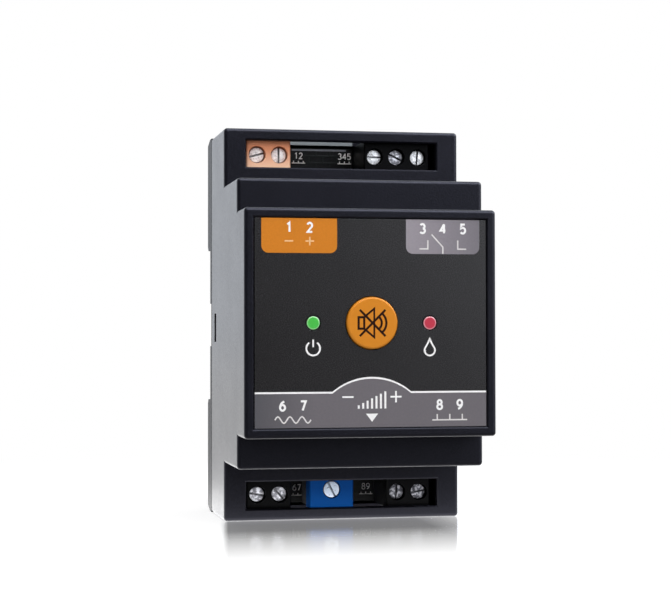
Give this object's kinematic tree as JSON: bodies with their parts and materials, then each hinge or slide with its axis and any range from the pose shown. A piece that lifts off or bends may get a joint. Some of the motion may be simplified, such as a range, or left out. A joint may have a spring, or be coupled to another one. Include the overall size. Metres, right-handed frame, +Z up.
{
  "type": "leak detection controller",
  "caption": "Rail-mounted leak detection controller: stepped housing, mute button, two indicators, sensitivity trimmer, screw terminals and a rail latch.",
  "frame": {"origin": "centre of the surface that lies against the front of a 35 mm rail", "axes": "+X along the rail, to the right seen from the front; +Y to the rear, towards the rail; +Z up"},
  "size_m": [0.054, 0.0595, 0.088],
  "materials": {
    "housing": "fine textured black moulded plastic",
    "base": "fine textured black moulded plastic",
    "panel": "dark grey printed plate, satin",
    "orange_ink": "satin printing ink",
    "grey_ink": "satin printing ink",
    "white_ink": "satin printing ink",
    "orange_plastic": "satin moulded plastic",
    "green_lens": "tinted clear resin",
    "red_lens": "tinted clear resin",
    "board": "black solder mask on glass epoxy",
    "black_plastic": "black moulded plastic",
    "copper_plastic": "orange-brown moulded plastic",
    "blue_plastic": "blue moulded plastic",
    "relay_plastic": "blue sealed case",
    "nickel": "nickel-plated steel",
    "zinc": "zinc-plated steel",
    "tin": "tinned brass",
    "gold": "gold-flashed brass",
    "can": "aluminium can with a dark sleeve"
  },
  "bodies": {
    "root": {"housing": "housing", "rear_base": "base", "faceplate": "panel", "orange_label": "orange_ink", "grey_fields": "grey_ink", "white_marks": "white_ink", "tact_switch": "black_plastic", "power_led": "green_lens", "leak_led": "red_lens", "display_board": "board", "main_board": "board", "riser_board": "board", "display_board_screws": "zinc", "main_board_screws": "zinc", "main_socket": "black_plastic", "display_socket": "black_plastic", "riser_plugs": "black_plastic", "riser_pins": "gold", "microcontroller": "black_plastic", "bus_driver": "black_plastic", "relay": "relay_plastic", "buzzer": "black_plastic", "filter_capacitors": "can", "power_converter": "black_plastic", "trimmer_body": "blue_plastic", "trimmer_spacer": "black_plastic", "power_terminal": "copper_plastic", "power_contacts": "tin", "relay_terminal": "black_plastic", "relay_contacts": "tin", "cable_terminal": "black_plastic", "cable_contacts": "tin", "bus_terminal": "black_plastic", "bus_contacts": "tin"},
    "latch": {"rail_latch": "base"},
    "button": {"mute_button": "orange_plastic", "switch_plunger": "black_plastic"},
    "rotor": {"trimmer_rotor": "nickel"},
    "power_screw_1": {"power_screw_1": "nickel"},
    "power_clamp_1": {"power_clamp_1": "zinc"},
    "power_screw_2": {"power_screw_2": "nickel"},
    "power_clamp_2": {"power_clamp_2": "zinc"},
    "relay_screw_1": {"relay_screw_1": "nickel"},
    "relay_clamp_1": {"relay_clamp_1": "zinc"},
    "relay_screw_2": {"relay_screw_2": "nickel"},
    "relay_clamp_2": {"relay_clamp_2": "zinc"},
    "relay_screw_3": {"relay_screw_3": "nickel"},
    "relay_clamp_3": {"relay_clamp_3": "zinc"},
    "cable_screw_1": {"cable_screw_1": "nickel"},
    "cable_clamp_1": {"cable_clamp_1": "zinc"},
    "cable_screw_2": {"cable_screw_2": "nickel"},
    "cable_clamp_2": {"cable_clamp_2": "zinc"},
    "bus_screw_1": {"bus_screw_1": "nickel"},
    "bus_clamp_1": {"bus_clamp_1": "zinc"},
    "bus_screw_2": {"bus_screw_2": "nickel"},
    "bus_clamp_2": {"bus_clamp_2": "zinc"}
  },
  "joints": [
    {"name": "latch_slide", "type": "slide", "parent": "root", "child": "latch", "axis": [0, 0, -1], "range_m": [0, 0.004]},
    {"name": "button_press", "type": "slide", "parent": "root", "child": "button", "axis": [0, 1, 0], "range_m": [0, 0.0005], "stiffness_N_per_m": 2500, "springref_m": -0.0002},
    {"name": "rotor_turn", "type": "hinge", "parent": "root", "child": "rotor", "pos_m": [-0.0021, -0.0217, -0.0375], "axis": [0, 1, 0], "range_deg": [-140, 140]},
    {"name": "power_screw_1_turn", "type": "hinge", "parent": "root", "child": "power_screw_1", "pos_m": [-0.01916, -0.0208, 0.03835], "axis": [0, 1, 0], "range_deg": [0, 1530]},
    {"name": "power_clamp_1_rise", "type": "slide", "parent": "root", "child": "power_clamp_1", "axis": [0, -1, 0], "range_m": [0, 0.00213]},
    {"name": "power_screw_2_turn", "type": "hinge", "parent": "root", "child": "power_screw_2", "pos_m": [-0.01408, -0.0208, 0.03835], "axis": [0, 1, 0], "range_deg": [0, 1530]},
    {"name": "power_clamp_2_rise", "type": "slide", "parent": "root", "child": "power_clamp_2", "axis": [0, -1, 0], "range_m": [0, 0.00213]},
    {"name": "relay_screw_1_turn", "type": "hinge", "parent": "root", "child": "relay_screw_1", "pos_m": [0.0081, -0.0208, 0.03835], "axis": [0, 1, 0], "range_deg": [0, 1530]},
    {"name": "relay_clamp_1_rise", "type": "slide", "parent": "root", "child": "relay_clamp_1", "axis": [0, -1, 0], "range_m": [0, 0.00213]},
    {"name": "relay_screw_2_turn", "type": "hinge", "parent": "root", "child": "relay_screw_2", "pos_m": [0.01318, -0.0208, 0.03835], "axis": [0, 1, 0], "range_deg": [0, 1530]},
    {"name": "relay_clamp_2_rise", "type": "slide", "parent": "root", "child": "relay_clamp_2", "axis": [0, -1, 0], "range_m": [0, 0.00213]},
    {"name": "relay_screw_3_turn", "type": "hinge", "parent": "root", "child": "relay_screw_3", "pos_m": [0.01826, -0.0208, 0.03835], "axis": [0, 1, 0], "range_deg": [0, 1530]},
    {"name": "relay_clamp_3_rise", "type": "slide", "parent": "root", "child": "relay_clamp_3", "axis": [0, -1, 0], "range_m": [0, 0.00213]},
    {"name": "cable_screw_1_turn", "type": "hinge", "parent": "root", "child": "cable_screw_1", "pos_m": [-0.01916, -0.0208, -0.03835], "axis": [0, 1, 0], "range_deg": [0, 1530]},
    {"name": "cable_clamp_1_rise", "type": "slide", "parent": "root", "child": "cable_clamp_1", "axis": [0, -1, 0], "range_m": [0, 0.00213]},
    {"name": "cable_screw_2_turn", "type": "hinge", "parent": "root", "child": "cable_screw_2", "pos_m": [-0.01408, -0.0208, -0.03835], "axis": [0, 1, 0], "range_deg": [0, 1530]},
    {"name": "cable_clamp_2_rise", "type": "slide", "parent": "root", "child": "cable_clamp_2", "axis": [0, -1, 0], "range_m": [0, 0.00213]},
    {"name": "bus_screw_1_turn", "type": "hinge", "parent": "root", "child": "bus_screw_1", "pos_m": [0.01318, -0.0208, -0.03835], "axis": [0, 1, 0], "range_deg": [0, 1530]},
    {"name": "bus_clamp_1_rise", "type": "slide", "parent": "root", "child": "bus_clamp_1", "axis": [0, -1, 0], "range_m": [0, 0.00213]},
    {"name": "bus_screw_2_turn", "type": "hinge", "parent": "root", "child": "bus_screw_2", "pos_m": [0.01826, -0.0208, -0.03835], "axis": [0, 1, 0], "range_deg": [0, 1530]},
    {"name": "bus_clamp_2_rise", "type": "slide", "parent": "root", "child": "bus_clamp_2", "axis": [0, -1, 0], "range_m": [0, 0.00213]}
  ],
  "couplings": [
    {"joint": "power_screw_1_turn", "follows": "power_clamp_1_rise", "rad_per_m": 12566},
    {"joint": "power_screw_2_turn", "follows": "power_clamp_2_rise", "rad_per_m": 12566},
    {"joint": "relay_screw_1_turn", "follows": "relay_clamp_1_rise", "rad_per_m": 12566},
    {"joint": "relay_screw_2_turn", "follows": "relay_clamp_2_rise", "rad_per_m": 12566},
    {"joint": "relay_screw_3_turn", "follows": "relay_clamp_3_rise", "rad_per_m": 12566},
    {"joint": "cable_screw_1_turn", "follows": "cable_clamp_1_rise", "rad_per_m": 12566},
    {"joint": "cable_screw_2_turn", "follows": "cable_clamp_2_rise", "rad_per_m": 12566},
    {"joint": "bus_screw_1_turn", "follows": "bus_clamp_1_rise", "rad_per_m": 12566},
    {"joint": "bus_screw_2_turn", "follows": "bus_clamp_2_rise", "rad_per_m": 12566}
  ]
}
